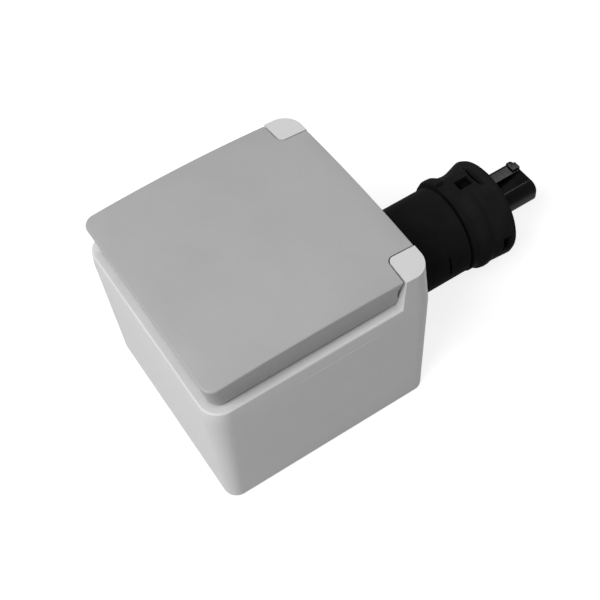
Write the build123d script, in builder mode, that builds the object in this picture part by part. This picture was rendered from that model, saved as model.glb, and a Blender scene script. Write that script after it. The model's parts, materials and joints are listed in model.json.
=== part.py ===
from build123d import *
import math
import os

os.makedirs("parts", exist_ok=True)

# Outdoor surface socket lying on its back: +Z out of the wall, +Y towards the hinge.
# The origin is the middle of the flat back face. All sizes are in millimetres.

# Clearances
seat_gap = 0.3
face_gap = 0.15
running_gap = 0.08
press_gap = 0.02

# Heights, from the crown of the lid downwards
crown_height = 65.35
lid_height = 13.85
waist_drop = 5.1
brow_rise = 0.65
edge_drop = 1.75
hinge_drop = 6.85
lid_rib_drop = 7.75
sill_rise = 1.7
collar_rib_rise = 2.8
plate_drop = 0.5
crown_radius = 480.0

# Widths, each set in from the waist of the housing
waist_width = 77.2
waist_inset_y = 0.15
brow_inset_x = 1.0
brow_inset_y = 1.35
back_inset = 1.65
side_wall = 5.2
lid_inset = 1.1
lid_lean = 2.3

# Housing
back_corner = 4.4
waist_corner = 6.6
brow_corner = 6.4
back_wall = 2.8
back_relief = 0.8
back_rim = 4.0
mouth_corner = 3.0
rim_round = 0.6
post_width = 9.25
post_depth = 6.1
post_lean_in = 1.5
post_corner = 1.8
sill_thickness = 2.6

# Hinge
hinge_setback = 3.5
pin_radius = 1.5
pin_end = 4.5

# Lid
lid_corner = 4.0
lid_foot_corner = 3.4
lid_skin = 2.2
lid_wall = 2.0
lid_gap = 0.4
lid_round = 0.8
grip_end = 7.0
grip_depth = 1.0
grip_lip = 3.2
knuckle_radius = 3.3
knuckle_length = 6.2
lid_rib = 1.5

# Sealing collar under the lid and its ring gasket
ring_inner = 22.85
ring_width = 2.1
ring_groove = 2.2
ring_wall = 0.8

# Closing spring
spring_wire = 0.4
spring_radius = 2.6
spring_turns = 4.5
spring_pitch = 1.7
spring_gap = 0.4
spring_end = 2.3
leg_reach = 5.0

# Front cover with the plug well
plate_thickness = 2.6
gasket_width = 1.5
gasket_height = 3.2
well_radius = 19.5
well_wall = 1.9
well_depth = 17.5
well_floor = 2.0
well_lead = 0.8
guide_width = 5.4
guide_height = 2.4
pin_spacing = 19.0
pin_hole_radius = 2.6
pin_hole_lead = 0.7

# Socket base and what it holds
base_width = 44.0
base_corner = 3.0
base_height = 20.0
base_floor = 2.0
base_edge = 1.0
sleeve_inner = 2.55
sleeve_wall = 0.7
sleeve_slit = 1.1
terminal_width = 7.0
terminal_length = 6.0
terminal_height = 8.0
terminal_screw_length = 2.4
terminal_x = 9.5
terminal_y = 15.5
strap_bite = 0.5
wire_radius = 1.3
wire_bend = 4.0
wire_straight = 9.0
wire_bite = 2.0
wire_spread = 0.6
wire_rise = 3.1
clip_width = 7.0
clip_thickness = 0.8
clip_reach = 18.0
clip_foot = 3.0
clip_top = 4.5
clip_tip = 4.0
clip_nip = 1.4
clip_bend = 0.9

# Fasteners
screw_radius = 1.45
screw_head_radius = 2.7
screw_head_height = 1.8
screw_slot_width = 0.8
screw_slot_depth = 0.9
screw_recess = 1.0
cover_screw_length = 12.0
base_screw_sink = 12.0
base_screw_bite = 6.0
centre_screw_bite = 10.0
boss_radius = 3.4
boss_inset = 6.9
rear_boss_inset_x = 5.25
rear_boss_inset_y = 5.0
base_boss = 17.2
fixing_inset = 5.9
fixing_radius = 2.3
fixing_boss = 4.6
fixing_seal = 1.2

# Plug-in connector on the hinge side, round about an axis along +Y
axis_height = 17.3
spot_rise = 0.15
spot_radius = 16.9
seal_thickness = 0.8
stem_radius = 12.3
stem_bore = 9.8
stem_edge = 0.8
nut_radius = 14.2
nut_thickness = 3.2
nut_notch_width = 3.0
nut_notch_depth = 1.0
barrel_length = 32.4
barrel_radius = 15.8
barrel_bore = 11.4
barrel_edge = 0.5
barrel_step = 8.0
spigot_radius = 13.2
spigot_length = 5.0
slit_setback = 8.5
slit_width = 0.9
slit_depth = 1.0
slit_start = -5.0
slit_sweep = 28.0

# Latch collar at the connector's mouth, its places measured from the end of the barrel
collar_gap = 0.9
latch_length = 16.9
latch_bore = 15.0
latch_low = 16.2
latch_ring = 17.6
latch_side = 17.1
latch_waist = 15.9
latch_flat = 16.15
latch_lip = 1.0
scoop_start = 112.0
scoop_end = 200.0
wall_clearance = 0.15
panel_edge = 2.4
panel_rise = 1.5
panel_round = 1.2
window_middle = -1.9
window_width = 3.8
window_start = 6.4
window_length = 5.5
arch_start = 14.0
slot_middle = -2.5
slot_half = 6.3
slot_length = 1.6
side_slot_start = 12.2
side_slot_length = 3.0
side_slot_height = 6.4
rib_left = -8.6
rib_right = -5.1
rib_foot = 7.75
rib_setback = 0.8

# Contact insert with the keyed nose, its places measured back from the nose's tip
insert_depth = 14.0
flange_thickness = 2.0
nose_length = 34.3
nose_left = -6.8
nose_right = 7.4
nose_above = 6.4
nose_below = 2.1
nose_corner_left = 1.4
nose_corner_right = 3.4
nose_corner_bottom = 3.0
nose_tip_round = 0.7
ridge_height = 0.7
ridge_length = 3.0
ridge_left = -5.1
ridge_right = -2.4
key_left = -1.5
key_right = 3.0
key_setback = 4.3
key_length = 7.0
key_depth = 2.6
contact_spacing = 5.0
contact_radius = 1.1
contact_rise = 2.1
contact_setback = 6.3
mouth_seal = 1.4

# Heights that follow
ledge_height = crown_height - lid_height
waist_height = ledge_height - waist_drop
brow_height = crown_height + brow_rise
lid_edge_height = crown_height - edge_drop
hinge_z = crown_height - hinge_drop
lid_rib_foot = crown_height - lid_rib_drop
sill_height = ledge_height + sill_rise
collar_rib_foot = ledge_height + collar_rib_rise
lid_foot = ledge_height + seat_gap
plate_top = ledge_height - plate_drop
plate_bottom = plate_top - plate_thickness
floor_top = plate_top - well_depth
floor_bottom = floor_top - well_floor
base_top = floor_bottom - seat_gap
base_bottom = base_top - base_height
clip_level = base_top - clip_thickness / 2 - face_gap
clip_height = plate_top - clip_top
crown_centre = crown_height - crown_radius

# Widths and places that follow
waist_width_y = waist_width - 2 * waist_inset_y
brow_width_x = waist_width - 2 * brow_inset_x
brow_width_y = waist_width - 2 * brow_inset_y
back_width = waist_width - 2 * back_inset
mouth_width = waist_width - 2 * side_wall
mouth_half = mouth_width / 2
lid_width = waist_width - 2 * lid_inset
lid_foot_width = lid_width - 2 * lid_lean
lid_flare = (lid_width - lid_foot_width) / (lid_edge_height - lid_foot)
lid_brow_width = lid_foot_width + lid_flare * (brow_height - lid_foot)
hinge_y = lid_width / 2 - hinge_setback
pin_length = lid_width - 2 * pin_end
post_inner = lid_width / 2 - post_width
post_front = hinge_y - post_depth
post_foot = post_front - post_lean_in
post_slope = post_lean_in / (lid_edge_height - ledge_height)
post_brow = post_foot + post_slope * (brow_height - ledge_height)
lid_notch_x = post_inner - lid_gap
collar_rib_inner = ring_inner - face_gap - ring_wall
collar_rib_outer = ring_inner + ring_width + face_gap + ring_wall
spring_half = spring_turns * spring_pitch / 2
spring_room = spring_radius + spring_wire + spring_gap
hinge_relief = hinge_z - spring_room + face_gap
plate_inset = gasket_width + 2 * face_gap
front_boss = mouth_half - boss_inset
rear_boss_x = post_inner - rear_boss_inset_x
rear_boss_y = mouth_half - rear_boss_inset_y
fixing_x = mouth_half - fixing_inset
pin_x = pin_spacing / 2
sleeve_outer = sleeve_inner + sleeve_wall
strap_end = terminal_y - terminal_length / 2 + strap_bite
notch_radius = math.hypot(hinge_y - post_front, lid_edge_height - hinge_z) + lid_gap

# Places along the connector that follow
spot_face = waist_width_y / 2 + spot_rise
barrel_start = spot_face + seal_thickness + 2 * face_gap
barrel_end = spot_face + barrel_length
spigot_end = barrel_end + spigot_length
stem_end = mouth_half - nut_thickness - 2 * seat_gap
slit_y = barrel_end - slit_setback
latch_start = barrel_end + collar_gap
latch_end = latch_start + latch_length
flange_start = spigot_end + face_gap
lip_start = flange_start + flange_thickness + face_gap
insert_start = barrel_start + insert_depth
nose_end = barrel_end + nose_length
nose_top = axis_height + nose_above
nose_bottom = axis_height - nose_below
contact_end = nose_end - contact_setback
contact_height = axis_height + contact_rise
latch_axis = Axis((0, 0, axis_height), (0, -1, 0))
connector_axis = Axis((0, 0, axis_height), (0, 1, 0))


def profile_plane(angle):
    """Plane through the connector's axis: x runs along +Y, y points out at the angle from +X."""
    turn = math.radians(angle)
    return Plane(
        origin=(0, 0, axis_height),
        x_dir=(0, 1, 0),
        z_dir=(math.sin(turn), 0, -math.cos(turn)),
    )


def cross_plane(y):
    """Plane across the connector at a distance along +Y, its x along +X and its y along +Z."""
    return Plane(origin=(0, y, axis_height), x_dir=(1, 0, 0), z_dir=(0, -1, 0))


def mouth_outline(inset, corner):
    """Outline of the housing's mouth, stepped round the posts at the two hinge corners."""
    half = mouth_half - inset
    inner = post_inner - inset
    front = post_foot - inset
    with BuildSketch() as outline:
        Rectangle(2 * half, 2 * half)
        for side in (-1, 1):
            with Locations((side * (inner + half) / 2, (front + half) / 2)):
                Rectangle(half - inner, half - front, mode=Mode.SUBTRACT)
        fillet(outline.vertices(), corner)
    return outline.sketch


def slotted_screw(length):
    """Cheese-head screw with its seat at the origin, its head up and its shank down."""
    with BuildPart() as screw:
        with BuildSketch():
            Circle(screw_head_radius)
        extrude(amount=screw_head_height)
        with BuildSketch():
            Circle(screw_radius)
        extrude(amount=-length)
        with BuildSketch(Plane.XY.offset(screw_head_height)):
            Rectangle(2 * screw_head_radius, screw_slot_width)
        extrude(amount=-screw_slot_depth, mode=Mode.SUBTRACT)
        chamfer(screw.faces().sort_by(Axis.Z)[0].edges(), screw_radius / 3)
    return screw.part


# The ball that cuts the crown, turned so that its poles lie far out along Y
with BuildPart() as crown:
    with Locations((0, 0, crown_centre)):
        Sphere(crown_radius, rotation=(90, 0, 0))

with BuildPart() as inner_crown:
    with Locations((0, 0, crown_centre)):
        Sphere(crown_radius - lid_skin, rotation=(90, 0, 0))

# Housing: drafted box with a waist, a ledge round three sides and two hinge posts
front_bosses = [(-front_boss, -front_boss), (front_boss, -front_boss)]
rear_bosses = [(-rear_boss_x, rear_boss_y), (rear_boss_x, rear_boss_y)]
cover_bosses = front_bosses + rear_bosses
base_bosses = [(base_boss, -base_boss), (-base_boss, base_boss)]
fixings = [(-fixing_x, 0), (fixing_x, 0)]

with BuildPart() as posts:
    with BuildSketch(Plane.XY.offset(waist_height)):
        RectangleRounded(waist_width, waist_width_y, waist_corner)
    with BuildSketch(Plane.XY.offset(brow_height)):
        RectangleRounded(brow_width_x, brow_width_y, brow_corner)
    loft(ruled=True)
    # only the posts at the hinge corners stay in front of the sill
    with BuildSketch(Plane.YZ):
        with BuildLine():
            Polyline(
                (-waist_width, waist_height),
                (post_foot, waist_height),
                (post_foot, ledge_height),
                (post_brow, brow_height),
                (-waist_width, brow_height),
                close=True,
            )
        make_face()
    extrude(amount=waist_width, both=True, mode=Mode.SUBTRACT)
    # between the posts only a low sill stays
    with BuildSketch(Plane.YZ):
        with BuildLine():
            Polyline(
                (0, waist_height),
                (waist_width_y / 2 - sill_thickness, waist_height),
                (waist_width_y / 2 - sill_thickness, sill_height),
                (waist_width, sill_height),
                (waist_width, brow_height),
                (0, brow_height),
                close=True,
            )
        make_face()
    extrude(amount=post_inner, both=True, mode=Mode.SUBTRACT)
    # round the inner front corner of each post
    post_edges = [
        edge
        for edge in posts.edges()
        if abs(abs(edge.center().X) - post_inner) < 0.01
        and edge.center().Z > sill_height
        and abs(edge.center().Y - (post_foot + post_brow) / 2) < 1
    ]
    fillet(post_edges, post_corner)

with BuildPart() as housing:
    with BuildSketch():
        RectangleRounded(back_width, back_width, back_corner)
    with BuildSketch(Plane.XY.offset(waist_height)):
        RectangleRounded(waist_width, waist_width_y, waist_corner)
    loft(ruled=True)
    with BuildSketch(Plane.XY.offset(waist_height)):
        RectangleRounded(waist_width, waist_width_y, waist_corner)
    with BuildSketch(Plane.XY.offset(brow_height)):
        RectangleRounded(brow_width_x, brow_width_y, brow_corner)
    loft(ruled=True)
    split(bisect_by=Plane.XY.offset(ledge_height), keep=Keep.BOTTOM)
    fillet(housing.faces().sort_by(Axis.Z)[-1].edges(), rim_round)
    add(posts.part)
    # round spot face that the connector seats on
    with BuildSketch(cross_plane(spot_face)):
        Circle(spot_radius)
    extrude(amount=spot_face - mouth_half)
    # cavity, stepped round the posts that run down inside as ribs
    with BuildSketch(Plane.XY.offset(back_wall)):
        add(mouth_outline(0, mouth_corner / 2))
    extrude(amount=ledge_height - back_wall, mode=Mode.SUBTRACT)
    # bosses for the cover screws, the base screws and the wall screws
    with BuildSketch(Plane.XY.offset(back_wall)):
        with Locations(*cover_bosses):
            Circle(boss_radius)
    extrude(amount=plate_bottom - seat_gap - back_wall)
    with BuildSketch(Plane.XY.offset(back_wall)):
        with Locations(*base_bosses):
            Circle(boss_radius)
    extrude(amount=base_bottom - seat_gap - back_wall)
    with BuildSketch(Plane.XY.offset(back_wall)):
        with Locations(*fixings):
            Circle(fixing_boss)
    extrude(amount=back_wall)
    with BuildSketch(Plane.XY):
        Rectangle(back_width - 2 * back_rim, back_width - 2 * back_rim)
        with Locations(*fixings):
            Circle(fixing_boss, mode=Mode.SUBTRACT)
    extrude(amount=back_relief, mode=Mode.SUBTRACT)
    with Locations(*[(x, y, plate_bottom - seat_gap) for x, y in cover_bosses]):
        Hole(screw_radius + press_gap, depth=cover_screw_length + base_screw_bite)
    with Locations(*[(x, y, base_bottom - seat_gap) for x, y in base_bosses]):
        Hole(screw_radius + press_gap, depth=base_screw_bite + seat_gap)
    with Locations(*[(x, y, 2 * back_wall) for x, y in fixings]):
        Hole(fixing_radius, depth=2 * back_wall)
    # way through the wall for the connector's stem
    with BuildSketch(cross_plane(spot_face)):
        Circle(stem_radius + seat_gap)
    extrude(amount=spot_face - mouth_half + back_wall, mode=Mode.SUBTRACT)
    # bores for the hinge pin: open on the left, blind on the right
    with BuildSketch(Plane.YZ.offset(pin_length / 2 + seat_gap)):
        with Locations((hinge_y, hinge_z)):
            Circle(pin_radius + press_gap)
    extrude(amount=-waist_width, mode=Mode.SUBTRACT)
    add(crown.part, mode=Mode.INTERSECT)

# Lid: hollow cap with leaning walls, a domed top and a notch round each post
with BuildPart() as lid_hollow:
    with BuildSketch(Plane.XY.offset(lid_foot)):
        RectangleRounded(
            lid_foot_width - 2 * lid_wall, lid_foot_width - 2 * lid_wall, lid_foot_corner - lid_wall / 2
        )
    with BuildSketch(Plane.XY.offset(brow_height)):
        RectangleRounded(
            lid_brow_width - 2 * lid_wall, lid_brow_width - 2 * lid_wall, lid_corner - lid_wall / 2
        )
    loft(ruled=True)
    # the hollow stops short of the notches
    hollow_front = hinge_y - notch_radius - lid_wall
    for side in (-1, 1):
        with BuildSketch(Plane.XY.offset(lid_foot)):
            with Locations((side * (lid_notch_x - lid_wall + lid_width) / 2, (hollow_front + lid_width) / 2)):
                Rectangle(lid_width - lid_notch_x + lid_wall, lid_width - hollow_front)
        extrude(amount=brow_height - lid_foot, mode=Mode.SUBTRACT)
    add(inner_crown.part, mode=Mode.INTERSECT)

with BuildPart() as lid_skeleton:
    # sealing collar with stiffening ribs out to the walls
    with BuildSketch(Plane.XY.offset(lid_rib_foot)):
        for turn in (0, 45, 90, 135):
            Rectangle(lid_width * 1.3, lid_rib, rotation=turn)
        Circle(collar_rib_inner, mode=Mode.SUBTRACT)
    extrude(amount=brow_height - lid_rib_foot)
    with BuildSketch(Plane.XY.offset(collar_rib_foot)):
        Circle(collar_rib_outer)
        Circle(collar_rib_inner, mode=Mode.SUBTRACT)
    extrude(amount=brow_height - collar_rib_foot)
    # hinge knuckles with webs up to the skin
    for side in (-1, 1):
        with BuildSketch(Plane.YZ.offset(side * (lid_notch_x - knuckle_length / 2))):
            with Locations((hinge_y, hinge_z)):
                Circle(knuckle_radius)
            with Locations((hinge_y, (hinge_z + brow_height) / 2)):
                Rectangle(2 * knuckle_radius, brow_height - hinge_z)
        extrude(amount=knuckle_length / 2, both=True)
    add(lid_hollow.part, mode=Mode.INTERSECT)

# room that the lid needs to swing past the posts, round at its inner ends like them
with BuildPart() as swing_room:
    for side in (-1, 1):
        with BuildSketch(Plane.YZ.offset(side * lid_notch_x)):
            with Locations((hinge_y, hinge_z)):
                Circle(notch_radius)
        extrude(amount=side * lid_width)
    inner_rings = [edge for edge in swing_room.edges() if abs(abs(edge.center().X) - lid_notch_x) < 0.01]
    fillet(inner_rings, post_corner + lid_gap)

with BuildPart() as lid:
    with BuildSketch(Plane.XY.offset(lid_foot)):
        RectangleRounded(lid_foot_width, lid_foot_width, lid_foot_corner)
    with BuildSketch(Plane.XY.offset(brow_height)):
        RectangleRounded(lid_brow_width, lid_brow_width, lid_corner)
    loft(ruled=True)
    # notches: a leaning step along each post and a sweep round the hinge
    for side in (-1, 1):
        with BuildSketch(Plane.YZ.offset(side * lid_notch_x)):
            with BuildLine():
                Polyline(
                    (post_foot - lid_gap, ledge_height),
                    (waist_width, ledge_height),
                    (waist_width, brow_height),
                    (post_brow - lid_gap, brow_height),
                    close=True,
                )
            make_face()
        extrude(amount=side * lid_width, mode=Mode.SUBTRACT)
    notch_edges = [
        edge
        for edge in lid.edges()
        if abs(abs(edge.center().X) - lid_notch_x) < 0.01 and edge.center().Y < post_brow
    ]
    fillet(notch_edges, post_corner + lid_gap)
    add(swing_room.part, mode=Mode.SUBTRACT)
    add(crown.part, mode=Mode.INTERSECT)
    top_edges = [
        edge
        for edge in lid.edges().filter_by(lambda e: e.center().Z > lid_edge_height - 2)
        if max(abs(edge.center().X), abs(edge.center().Y)) > lid_width / 2 - 2.4
        and edge.length > 5
    ]
    fillet(top_edges, lid_round)
    add(lid_hollow.part, mode=Mode.SUBTRACT)
    add(lid_skeleton.part)
    # the rear wall stops above the sill and leaves room for the spring
    with BuildSketch(Plane.XY.offset(ledge_height)):
        with Locations((0, post_foot + lid_width / 2)):
            Rectangle(2 * post_inner, lid_width)
    extrude(amount=hinge_relief - ledge_height, mode=Mode.SUBTRACT)
    with BuildSketch(Plane.XZ.offset(spring_room - hinge_y)):
        with Locations((0, hinge_relief)):
            Rectangle(2 * (spring_half + spring_end), 2 * (hinge_z + spring_room - hinge_relief))
    extrude(amount=-lid_width, mode=Mode.SUBTRACT)
    # groove in the sealing collar and bore for the pin
    with BuildSketch(Plane.XY.offset(collar_rib_foot)):
        Circle(ring_inner + ring_width + face_gap)
        Circle(ring_inner - face_gap, mode=Mode.SUBTRACT)
    extrude(amount=ring_groove, mode=Mode.SUBTRACT)
    with BuildSketch(Plane.YZ):
        with Locations((hinge_y, hinge_z)):
            Circle(pin_radius + running_gap)
    extrude(amount=lid_width, both=True, mode=Mode.SUBTRACT)
    # finger grip under the lip of the front wall
    with BuildSketch(Plane.YZ):
        grip_top = lid_edge_height - grip_lip
        grip_top_y = lid_foot_width / 2 + lid_flare / 2 * (grip_top - lid_foot)
        with BuildLine():
            Polyline(
                (-lid_width, lid_foot),
                (-lid_foot_width / 2 + grip_depth, lid_foot),
                (-grip_top_y + grip_depth, grip_top),
                (-lid_width, grip_top),
                close=True,
            )
        make_face()
    extrude(amount=lid_width / 2 - grip_end, both=True, mode=Mode.SUBTRACT)

with BuildPart() as lid_gasket:
    with BuildSketch(Plane.XY.offset(plate_top + seat_gap)):
        Circle(ring_inner + ring_width)
        Circle(ring_inner, mode=Mode.SUBTRACT)
    extrude(amount=collar_rib_foot + ring_groove - face_gap - plate_top - seat_gap)
    chamfer(lid_gasket.faces().sort_by(Axis.Z)[0].edges(), ring_width / 4)

# Hinge pin pushed through both posts, and the closing spring round it
with BuildPart() as hinge_pin:
    with BuildSketch(Plane.YZ):
        with Locations((hinge_y, hinge_z)):
            Circle(pin_radius)
    extrude(amount=pin_length / 2, both=True)
    chamfer(hinge_pin.edges(), pin_radius / 4)

with BuildPart() as lid_spring:
    with BuildLine() as coil:
        turns = Helix(
            spring_pitch,
            spring_turns * spring_pitch,
            spring_radius,
            center=(-spring_half, hinge_y, hinge_z),
            direction=(1, 0, 0),
            lefthand=True,
        )
    with BuildSketch(Plane(origin=turns @ 0, z_dir=turns % 0)):
        RegularPolygon(spring_wire, 6)
    sweep(path=coil.line)
    # upper arm under the lid, lower arm bent down onto the front cover
    with BuildSketch(Plane(origin=turns @ 0, z_dir=turns % 0)):
        RegularPolygon(spring_wire, 6)
    extrude(amount=-leg_reach)
    with BuildLine() as arm:
        FilletPolyline(
            turns @ 1,
            (turns @ 1) - Vector(0, leg_reach - 1, 0),
            Vector((turns @ 1).X, hinge_y - leg_reach + 1, plate_top + face_gap),
            radius=2 * spring_wire,
        )
    with BuildSketch(Plane(origin=arm.line @ 0, z_dir=arm.line % 0)):
        RegularPolygon(spring_wire, 6)
    sweep(path=arm.line)

# Front cover: plate with the round well for a two-pin plug with side earth contacts
with BuildPart() as front_cover:
    with BuildSketch(Plane.XY.offset(plate_bottom)):
        add(mouth_outline(plate_inset, mouth_corner / 2))
    extrude(amount=plate_thickness)
    with BuildSketch(Plane.XY.offset(floor_bottom)):
        Circle(well_radius + well_wall)
    extrude(amount=plate_top - floor_bottom)
    with BuildSketch(Plane.XY.offset(floor_top)):
        Circle(well_radius)
        for side in (-1, 1):
            with Locations((side * well_radius, 0)):
                Rectangle(2 * guide_height, guide_width, mode=Mode.SUBTRACT)
    extrude(amount=well_depth, mode=Mode.SUBTRACT)
    mouth_ring = front_cover.edges().filter_by_position(Axis.Z, plate_top - 0.01, plate_top + 0.01)
    mouth_ring = mouth_ring.filter_by(GeomType.CIRCLE).filter_by(lambda e: e.radius > well_radius - 1)
    chamfer(mouth_ring, well_lead)
    with Locations((-pin_x, 0, floor_top), (pin_x, 0, floor_top)):
        CounterSinkHole(pin_hole_radius, pin_hole_radius + pin_hole_lead, depth=well_floor)
    with Locations((0, 0, floor_top)):
        CounterSinkHole(screw_radius + seat_gap, screw_head_radius + seat_gap, depth=well_floor)
    with Locations(*[(x, y, plate_top) for x, y in cover_bosses]):
        CounterBoreHole(screw_radius + seat_gap, screw_head_radius + seat_gap, screw_recess, depth=plate_thickness)
    with BuildSketch(Plane.XY.offset(floor_top)):
        for side in (-1, 1):
            with Locations((0, side * clip_reach)):
                Rectangle(clip_width + 2 * seat_gap, clip_thickness + 4 * seat_gap)
    extrude(amount=-well_floor, mode=Mode.SUBTRACT)

with BuildPart() as cover_gasket:
    with BuildSketch(Plane.XY.offset(plate_bottom - seat_gap)):
        add(mouth_outline(face_gap, mouth_corner / 2))
        add(mouth_outline(face_gap + gasket_width, mouth_corner / 3), mode=Mode.SUBTRACT)
    extrude(amount=gasket_height)

# Socket base: moulded block with a pocket for each contact
pocket_gap = seat_gap
with BuildPart() as socket_base:
    with BuildSketch(Plane.XY.offset(base_bottom)):
        RectangleRounded(base_width, base_width, base_corner)
    extrude(amount=base_height)
    chamfer(socket_base.faces().sort_by(Axis.Z)[0].edges(), base_edge)
    # pockets under the pin holes, joined to the terminal pockets
    with BuildSketch(Plane.XY.offset(base_top)):
        for side in (-1, 1):
            with Locations((side * pin_x, 0)):
                Circle(sleeve_outer + pocket_gap)
            with Locations((side * terminal_x, terminal_y)):
                Rectangle(terminal_width + 2 * pocket_gap, terminal_length + 2 * pocket_gap)
            with Locations((side * terminal_x, terminal_y / 2)):
                Rectangle(2 * sleeve_wall + 2 * pocket_gap, terminal_y)
    extrude(amount=-(base_height - base_floor), mode=Mode.SUBTRACT)
    # channel for the earth strap, deeper at its terminal
    with BuildSketch(Plane.XY.offset(base_top)):
        Rectangle(clip_width + 2 * pocket_gap, base_width)
    extrude(amount=-(clip_thickness + 2 * face_gap), mode=Mode.SUBTRACT)
    with BuildSketch(Plane.XY.offset(base_top)):
        with Locations((0, terminal_y)):
            Rectangle(terminal_width + 2 * pocket_gap, terminal_length + 2 * pocket_gap)
    extrude(amount=-(terminal_height + 2 * pocket_gap), mode=Mode.SUBTRACT)
    # wire entries in the side that faces the connector
    with BuildSketch(Plane.XZ.offset(-base_width / 2)):
        with Locations(*[(x, base_top - terminal_height / 2) for x in (-terminal_x, 0, terminal_x)]):
            Circle(wire_radius + pocket_gap)
    extrude(amount=base_width / 2 - terminal_y, mode=Mode.SUBTRACT)
    with Locations((0, 0, base_top)):
        Hole(screw_radius + press_gap, depth=centre_screw_bite + 2 * seat_gap)
    with Locations(*[(x, y, base_top) for x, y in base_bosses]):
        CounterBoreHole(screw_radius + seat_gap, screw_head_radius + seat_gap, base_screw_sink, depth=base_height)


def terminal_block(x):
    """Brass terminal with a hole for the wire along Y and a threaded hole from above."""
    with BuildPart() as block:
        with BuildSketch(Plane.XY.offset(base_top - seat_gap)):
            with Locations((x, terminal_y)):
                Rectangle(terminal_width, terminal_length)
        extrude(amount=-terminal_height)
        with BuildSketch(Plane.XZ.offset(-(terminal_y + terminal_length / 2))):
            with Locations((x, base_top - terminal_height / 2)):
                Circle(wire_radius + press_gap)
        extrude(amount=terminal_length, mode=Mode.SUBTRACT)
        with Locations((x, terminal_y, base_top - seat_gap)):
            Hole(screw_radius + press_gap, depth=terminal_height / 2)
    return block.part


# Line contacts: a slit sleeve that grips the plug's pin, joined by a strap to its terminal
contacts = {}
for label, side in (("live_contact", -1), ("neutral_contact", 1)):
    with BuildPart() as contact:
        with BuildSketch(Plane.XY.offset(base_bottom + base_floor + seat_gap)):
            with Locations((side * pin_x, 0)):
                Circle(sleeve_outer)
            with Locations((side * terminal_x, strap_end / 2)):
                Rectangle(2 * sleeve_wall, strap_end)
            with Locations((side * pin_x, 0)):
                Circle(sleeve_inner, mode=Mode.SUBTRACT)
            with Locations((side * (pin_x - sleeve_outer), 0)):
                Rectangle(2 * sleeve_outer, sleeve_slit, mode=Mode.SUBTRACT)
        extrude(amount=base_height - base_floor - 2 * seat_gap)
        add(terminal_block(side * terminal_x))
    contact.part.label = label
    contacts[label] = contact.part

# Earth clip: one bent strip that rises on both sides of the well, with its own terminal
with BuildPart() as earth_clip:
    with BuildSketch(Plane.YZ) as strip:
        with BuildLine() as bend:
            FilletPolyline(
                (0, clip_level),
                (clip_reach, clip_level),
                (clip_reach, floor_top + clip_foot),
                (clip_reach - clip_nip, clip_height - clip_tip),
                (clip_reach, clip_height),
                radius=clip_bend,
            )
        trace(line_width=clip_thickness)
    extrude(amount=clip_width / 2, both=True)
    mirror(about=Plane.XZ)
    add(terminal_block(0))
    with BuildSketch(Plane.XY.offset(base_top)):
        Circle(screw_radius + seat_gap)
        with Locations((0, terminal_y)):
            Circle(screw_radius + press_gap)
    extrude(amount=-2 * clip_thickness, mode=Mode.SUBTRACT)

# Screws, each group one piece with its solids apart
with BuildPart() as terminal_screws:
    with Locations(*[(x, terminal_y, base_top) for x in (-terminal_x, 0, terminal_x)]):
        Cylinder(screw_radius, terminal_screw_length, align=(Align.CENTER, Align.CENTER, Align.MAX))
    with BuildSketch(Plane.XY.offset(base_top)):
        with Locations(*[(x, terminal_y) for x in (-terminal_x, 0, terminal_x)]):
            Rectangle(2 * screw_radius, screw_slot_width)
    extrude(amount=-screw_slot_depth, mode=Mode.SUBTRACT)

cover_screw = slotted_screw(cover_screw_length)
with BuildPart() as cover_screws:
    with Locations(*[(x, y, plate_top - screw_recess) for x, y in cover_bosses]):
        add(cover_screw)

base_screw = slotted_screw(base_height - base_screw_sink + base_screw_bite)
with BuildPart() as base_screws:
    with Locations(*[(x, y, base_top - base_screw_sink) for x, y in base_bosses]):
        add(base_screw)

with BuildPart() as centre_screw:
    with BuildSketch(Plane.XZ):
        with BuildLine():
            Polyline(
                (0, floor_top - face_gap),
                (screw_head_radius, floor_top - face_gap),
                (screw_radius, floor_top - face_gap - screw_head_radius + screw_radius),
                (screw_radius, base_top - centre_screw_bite + screw_radius / 2),
                (0, base_top - centre_screw_bite),
                close=True,
            )
        make_face()
    revolve(axis=Axis.Z)
    with BuildSketch(Plane.XY.offset(floor_top)):
        Rectangle(2 * screw_head_radius, screw_slot_width)
    extrude(amount=-screw_slot_depth, mode=Mode.SUBTRACT)

with BuildPart() as fixing_seals:
    with BuildSketch(Plane.XY.offset(2 * back_wall + face_gap)):
        with Locations(*fixings):
            Circle(fixing_boss)
            Circle(fixing_radius, mode=Mode.SUBTRACT)
    extrude(amount=fixing_seal)

# Connector body: barrel outside, threaded stem through the wall, spigot for the collar
with BuildPart() as connector_body:
    with BuildSketch(profile_plane(90)):
        with BuildLine():
            Polyline(
                (stem_end, stem_bore),
                (stem_end, stem_radius - stem_edge),
                (stem_end + stem_edge, stem_radius),
                (barrel_start, stem_radius),
                (barrel_start, barrel_radius - barrel_edge),
                (barrel_start + barrel_edge, barrel_radius),
                (barrel_end - barrel_edge / 2, barrel_radius),
                (barrel_end, barrel_radius - barrel_edge / 2),
                (barrel_end, spigot_radius),
                (spigot_end, spigot_radius),
                (spigot_end, barrel_bore),
                (barrel_start + barrel_step, barrel_bore),
                (barrel_start + barrel_step, stem_bore),
                close=True,
            )
        make_face()
    revolve(axis=connector_axis)
    # release slit across the side of the barrel
    with BuildSketch(profile_plane(slit_start)):
        with Locations((slit_y, barrel_radius)):
            Rectangle(slit_width, 2 * slit_depth)
    revolve(axis=latch_axis, revolution_arc=slit_sweep, mode=Mode.SUBTRACT)

with BuildPart() as connector_seal:
    with BuildSketch(cross_plane(spot_face + face_gap)):
        Circle(barrel_radius - barrel_edge)
        Circle(stem_radius + seat_gap, mode=Mode.SUBTRACT)
    extrude(amount=-seal_thickness)

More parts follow.
